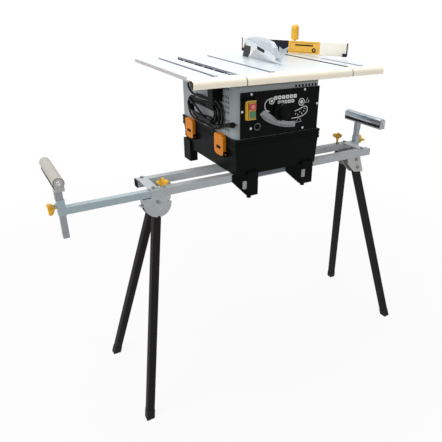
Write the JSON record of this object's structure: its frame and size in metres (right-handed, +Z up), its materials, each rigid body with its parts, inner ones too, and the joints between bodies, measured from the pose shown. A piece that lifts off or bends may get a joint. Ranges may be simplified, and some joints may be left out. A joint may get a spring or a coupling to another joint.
{
  "type": "table saw on stand",
  "caption": "Portable table saw with sliding side tables, guard and mitre gauge, on a folding four-legged stand with extending roller supports.",
  "frame": {"origin": "on the floor, midway between the outermost sides of the object", "axes": "+X along the rails to the right as the user stands at the front panel, +Y away from the user, +Z up"},
  "size_m": [1.3684, 0.7187, 1.249],
  "materials": {
    "frame_grey": "satin silver-grey enamel",
    "zinc": "bright zinc plating",
    "zinc_sheet": "zinc-plated sheet",
    "leg_black": "black powder coat",
    "rubber": "moulded rubber",
    "roller_steel": "turned steel tube",
    "yellow_plastic": "moulded yellow plastic",
    "black_plastic": "moulded black plastic",
    "orange_plastic": "moulded orange plastic",
    "cabinet_paint": "blue-grey powder coat",
    "switch_yellow": "moulded yellow plastic",
    "red_plastic": "moulded red plastic",
    "green_plastic": "moulded green plastic",
    "table_plate": "light satin aluminium with a cream enamelled front rail",
    "blade_steel": "ground steel",
    "motor_alloy": "cast alloy",
    "knife_steel": "dark grey coating",
    "clear_plastic": "clear moulded plastic",
    "fence_white": "cream enamel",
    "cord_black": "rubber-sheathed cable"
  },
  "bodies": {
    "stand": {"front_rail": "frame_grey", "back_rail": "frame_grey", "rail_end_caps": "black_plastic", "cross_plates": "frame_grey", "stand_bolts": "zinc", "front_left_bracket": "zinc_sheet", "back_left_bracket": "zinc_sheet", "front_right_bracket": "zinc_sheet", "back_right_bracket": "zinc_sheet", "base_tray": "black_plastic", "cabinet": "cabinet_paint", "front_panel": "black_plastic", "panel_screws": "zinc", "switch_box": "switch_yellow", "main_table": "table_plate", "table_insert": "table_plate", "lift_rods": "zinc", "riving_knife": "knife_steel", "cord_hanger": "black_plastic", "cord_gland": "black_plastic", "cord_lead": "cord_black", "cord_hank": "cord_black", "plug": "black_plastic"},
    "front_left_leg": {"front_left_leg": "leg_black", "front_left_foot": "rubber"},
    "back_left_leg": {"back_left_leg": "leg_black", "back_left_foot": "rubber"},
    "front_right_leg": {"front_right_leg": "leg_black", "front_right_foot": "rubber"},
    "back_right_leg": {"back_right_leg": "leg_black", "back_right_foot": "rubber"},
    "left_arm": {"left_arm": "frame_grey"},
    "right_arm": {"right_arm": "frame_grey"},
    "left_post": {"left_post": "zinc_sheet", "left_roller_bracket": "frame_grey"},
    "right_post": {"right_post": "zinc_sheet", "right_roller_bracket": "frame_grey"},
    "left_roller": {"left_roller": "roller_steel"},
    "right_roller": {"right_roller": "roller_steel"},
    "front_rail_knob": {"front_rail_knob": "yellow_plastic"},
    "back_rail_knob": {"back_rail_knob": "yellow_plastic"},
    "left_post_knob": {"left_post_knob": "yellow_plastic"},
    "right_post_knob": {"right_post_knob": "yellow_plastic"},
    "front_left_latch": {"front_left_latch": "orange_plastic"},
    "back_left_latch": {"back_left_latch": "orange_plastic"},
    "front_right_latch": {"front_right_latch": "orange_plastic"},
    "back_right_latch": {"back_right_latch": "orange_plastic"},
    "stop_button": {"stop_button": "red_plastic"},
    "start_button": {"start_button": "green_plastic"},
    "reset_button": {"reset_button": "black_plastic"},
    "handwheel": {"handwheel": "black_plastic"},
    "left_extension": {"left_extension": "table_plate"},
    "right_extension": {"right_extension": "table_plate"},
    "motor_unit": {"motor_unit": "motor_alloy"},
    "blade": {"blade": "blade_steel"},
    "guard": {"guard": "clear_plastic"},
    "mitre_bar": {"mitre_bar": "zinc"},
    "mitre_head": {"mitre_head": "motor_alloy", "fence_board": "fence_white"},
    "mitre_handle": {"mitre_handle": "yellow_plastic"}
  },
  "joints": [
    {"name": "front_left_fold", "type": "hinge", "parent": "stand", "child": "front_left_leg", "pos_m": [-0.36075, -0.20175, 0.756], "axis": [0, -0.9823, 0.1871], "range_deg": [0, 100.2]},
    {"name": "back_right_fold", "type": "hinge", "parent": "stand", "child": "back_right_leg", "pos_m": [0.53125, -0.09575, 0.756], "axis": [0, 0.9823, 0.1871], "range_deg": [0, 100.2]},
    {"name": "front_right_fold", "type": "hinge", "parent": "stand", "child": "front_right_leg", "pos_m": [0.50025, -0.20175, 0.728], "axis": [0, 0.981, -0.194], "range_deg": [0, 102.9]},
    {"name": "back_left_fold", "type": "hinge", "parent": "stand", "child": "back_left_leg", "pos_m": [-0.32975, -0.09575, 0.728], "axis": [0, -0.981, -0.194], "range_deg": [0, 102.9]},
    {"name": "left_arm_slide", "type": "slide", "parent": "stand", "child": "left_arm", "axis": [-1, 0, 0], "range_m": [-0.21, 0.09]},
    {"name": "right_arm_slide", "type": "slide", "parent": "stand", "child": "right_arm", "axis": [1, 0, 0], "range_m": [0, 0.3]},
    {"name": "left_post_slide", "type": "slide", "parent": "left_arm", "child": "left_post", "axis": [0, 0, 1], "range_m": [0, 0.085]},
    {"name": "right_post_slide", "type": "slide", "parent": "right_arm", "child": "right_post", "axis": [0, 0, 1], "range_m": [-0.024, 0.061]},
    {"name": "left_roller_spin", "type": "hinge", "parent": "left_post", "child": "left_roller", "pos_m": [-0.64775, -0.13275, 0.8825], "axis": [0, 1, 0], "continuous": true},
    {"name": "right_roller_spin", "type": "hinge", "parent": "right_post", "child": "right_roller", "pos_m": [0.59025, -0.13275, 0.9065], "axis": [0, 1, 0], "continuous": true},
    {"name": "front_rail_knob_turn", "type": "hinge", "parent": "stand", "child": "front_rail_knob", "pos_m": [-0.33875, -0.20175, 0.8], "axis": [0, 0, 1], "continuous": true},
    {"name": "back_rail_knob_turn", "type": "hinge", "parent": "stand", "child": "back_rail_knob", "pos_m": [0.48825, -0.09575, 0.8], "axis": [0, 0, 1], "continuous": true},
    {"name": "left_post_knob_turn", "type": "hinge", "parent": "left_arm", "child": "left_post_knob", "pos_m": [-0.65875, -0.20175, 0.804], "axis": [-1, 0, 0], "continuous": true},
    {"name": "right_post_knob_turn", "type": "hinge", "parent": "right_arm", "child": "right_post_knob", "pos_m": [0.60125, -0.09575, 0.804], "axis": [1, 0, 0], "continuous": true},
    {"name": "front_left_latch_hinge", "type": "hinge", "parent": "stand", "child": "front_left_latch", "pos_m": [-0.09805, -0.14525, 0.865], "axis": [0, -1, 0], "range_deg": [0, 75]},
    {"name": "back_left_latch_hinge", "type": "hinge", "parent": "stand", "child": "back_left_latch", "pos_m": [-0.09805, 0.09675, 0.865], "axis": [0, -1, 0], "range_deg": [0, 75]},
    {"name": "front_right_latch_hinge", "type": "hinge", "parent": "stand", "child": "front_right_latch", "pos_m": [0.26855, -0.14525, 0.865], "axis": [0, 1, 0], "range_deg": [0, 75]},
    {"name": "back_right_latch_hinge", "type": "hinge", "parent": "stand", "child": "back_right_latch", "pos_m": [0.26855, 0.09675, 0.865], "axis": [0, 1, 0], "range_deg": [0, 75]},
    {"name": "stop_button_press", "type": "slide", "parent": "stand", "child": "stop_button", "axis": [0, 1, 0], "range_m": [0, 0.003], "stiffness_N_per_m": 600, "springref_m": -0.001},
    {"name": "start_button_press", "type": "slide", "parent": "stand", "child": "start_button", "axis": [0, 1, 0], "range_m": [0, 0.003], "stiffness_N_per_m": 600, "springref_m": -0.001},
    {"name": "reset_button_press", "type": "slide", "parent": "stand", "child": "reset_button", "axis": [0, 1, 0], "range_m": [0, 0.002], "stiffness_N_per_m": 600, "springref_m": -0.001},
    {"name": "blade_lift", "type": "slide", "parent": "stand", "child": "motor_unit", "axis": [0, 0, 1], "range_m": [-0.055, 0]},
    {"name": "handwheel_turn", "type": "hinge", "parent": "stand", "child": "handwheel", "pos_m": [0.08525, -0.14875, 1.006], "axis": [0, 1, 0], "range_deg": [-1000, 10]},
    {"name": "blade_spin", "type": "hinge", "parent": "motor_unit", "child": "blade", "pos_m": [0.18525, 0.04125, 1.056], "axis": [1, 0, 0], "continuous": true},
    {"name": "guard_lift", "type": "hinge", "parent": "stand", "child": "guard", "pos_m": [0.18525, 0.13525, 1.19], "axis": [-1, 0, 0], "range_deg": [0, 60]},
    {"name": "left_extension_slide", "type": "slide", "parent": "stand", "child": "left_extension", "axis": [-1, 0, 0], "range_m": [0, 0.12]},
    {"name": "right_extension_slide", "type": "slide", "parent": "stand", "child": "right_extension", "axis": [1, 0, 0], "range_m": [0, 0.12]},
    {"name": "mitre_gauge_slide", "type": "slide", "parent": "right_extension", "child": "mitre_bar", "axis": [0, 1, 0], "range_m": [-0.21, 0.05]},
    {"name": "mitre_gauge_swivel", "type": "hinge", "parent": "mitre_bar", "child": "mitre_head", "pos_m": [0.44225, 0.18625, 1.134], "axis": [0, 0, 1], "range_deg": [-8.5, 111.5]},
    {"name": "mitre_handle_turn", "type": "hinge", "parent": "mitre_head", "child": "mitre_handle", "pos_m": [0.44225, 0.18625, 1.134], "axis": [0, 0, 1], "continuous": true}
  ],
  "couplings": [
    {"joint": "handwheel_turn", "follows": "blade_lift", "rad_per_m": 314.16}
  ]
}
